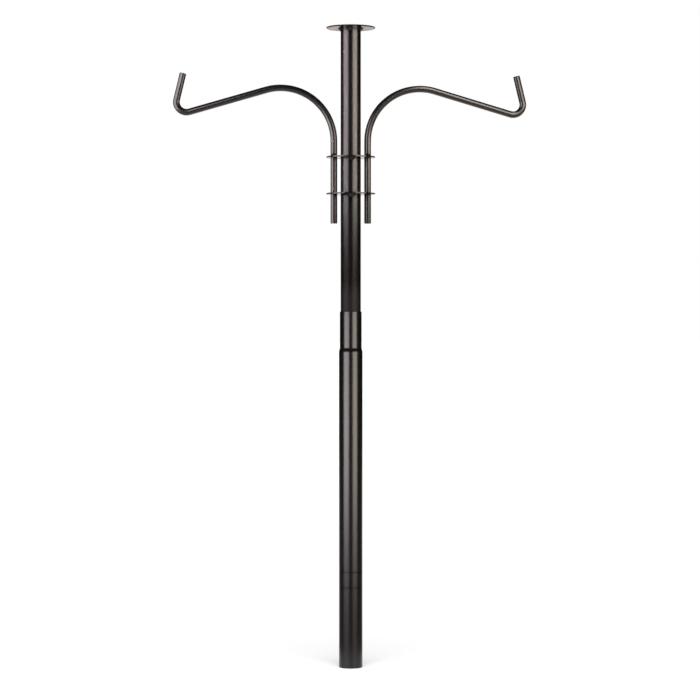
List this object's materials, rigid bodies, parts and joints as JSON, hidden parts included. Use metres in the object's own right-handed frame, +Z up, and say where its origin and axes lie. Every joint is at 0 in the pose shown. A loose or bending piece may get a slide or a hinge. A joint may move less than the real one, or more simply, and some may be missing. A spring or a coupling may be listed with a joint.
{
  "type": "bird feeder pole",
  "caption": "Sectional steel garden pole with a swaged slip joint, a screw flange on top, and swivelling hooked rod arms held in discs for hanging bird feeders.",
  "frame": {"origin": "centre of the open foot of the lower pole, where a ground stake enters", "axes": "+Z up along the pole, +X along the right arm, -Y towards the viewer"},
  "size_m": [0.6704, 0.092, 1.2098],
  "materials": {
    "pole_coat": "semi-gloss bronze-black coat",
    "plate_coat": "semi-gloss bronze-black coat",
    "arm_coat": "satin bronze-black coat",
    "weld_coat": "coated weld",
    "plug": "moulded"
  },
  "bodies": {
    "ground_section": {"lower_pole": "pole_coat", "stop_plug": "plug"},
    "top_section": {"upper_pole": "pole_coat", "top_flange": "plate_coat", "flange_weld": "weld_coat", "upper_arm_plate": "plate_coat", "upper_plate_welds": "weld_coat", "lower_arm_plate": "plate_coat", "lower_plate_welds": "weld_coat"},
    "left_arm": {"left_arm": "arm_coat", "left_stop_beads": "weld_coat"},
    "right_arm": {"right_arm": "arm_coat", "right_stop_beads": "weld_coat"}
  },
  "joints": [
    {"name": "top_section_lift", "type": "slide", "parent": "ground_section", "child": "top_section", "axis": [0, 0, 1], "range_m": [0, 0.48]},
    {"name": "left_arm_swivel", "type": "hinge", "parent": "top_section", "child": "left_arm", "pos_m": [-0.032, 0, 0.93], "axis": [0, 0, 1], "range_deg": [-90, 90]},
    {"name": "right_arm_swivel", "type": "hinge", "parent": "top_section", "child": "right_arm", "pos_m": [0.032, 0, 0.93], "axis": [0, 0, 1], "range_deg": [-90, 90]}
  ]
}
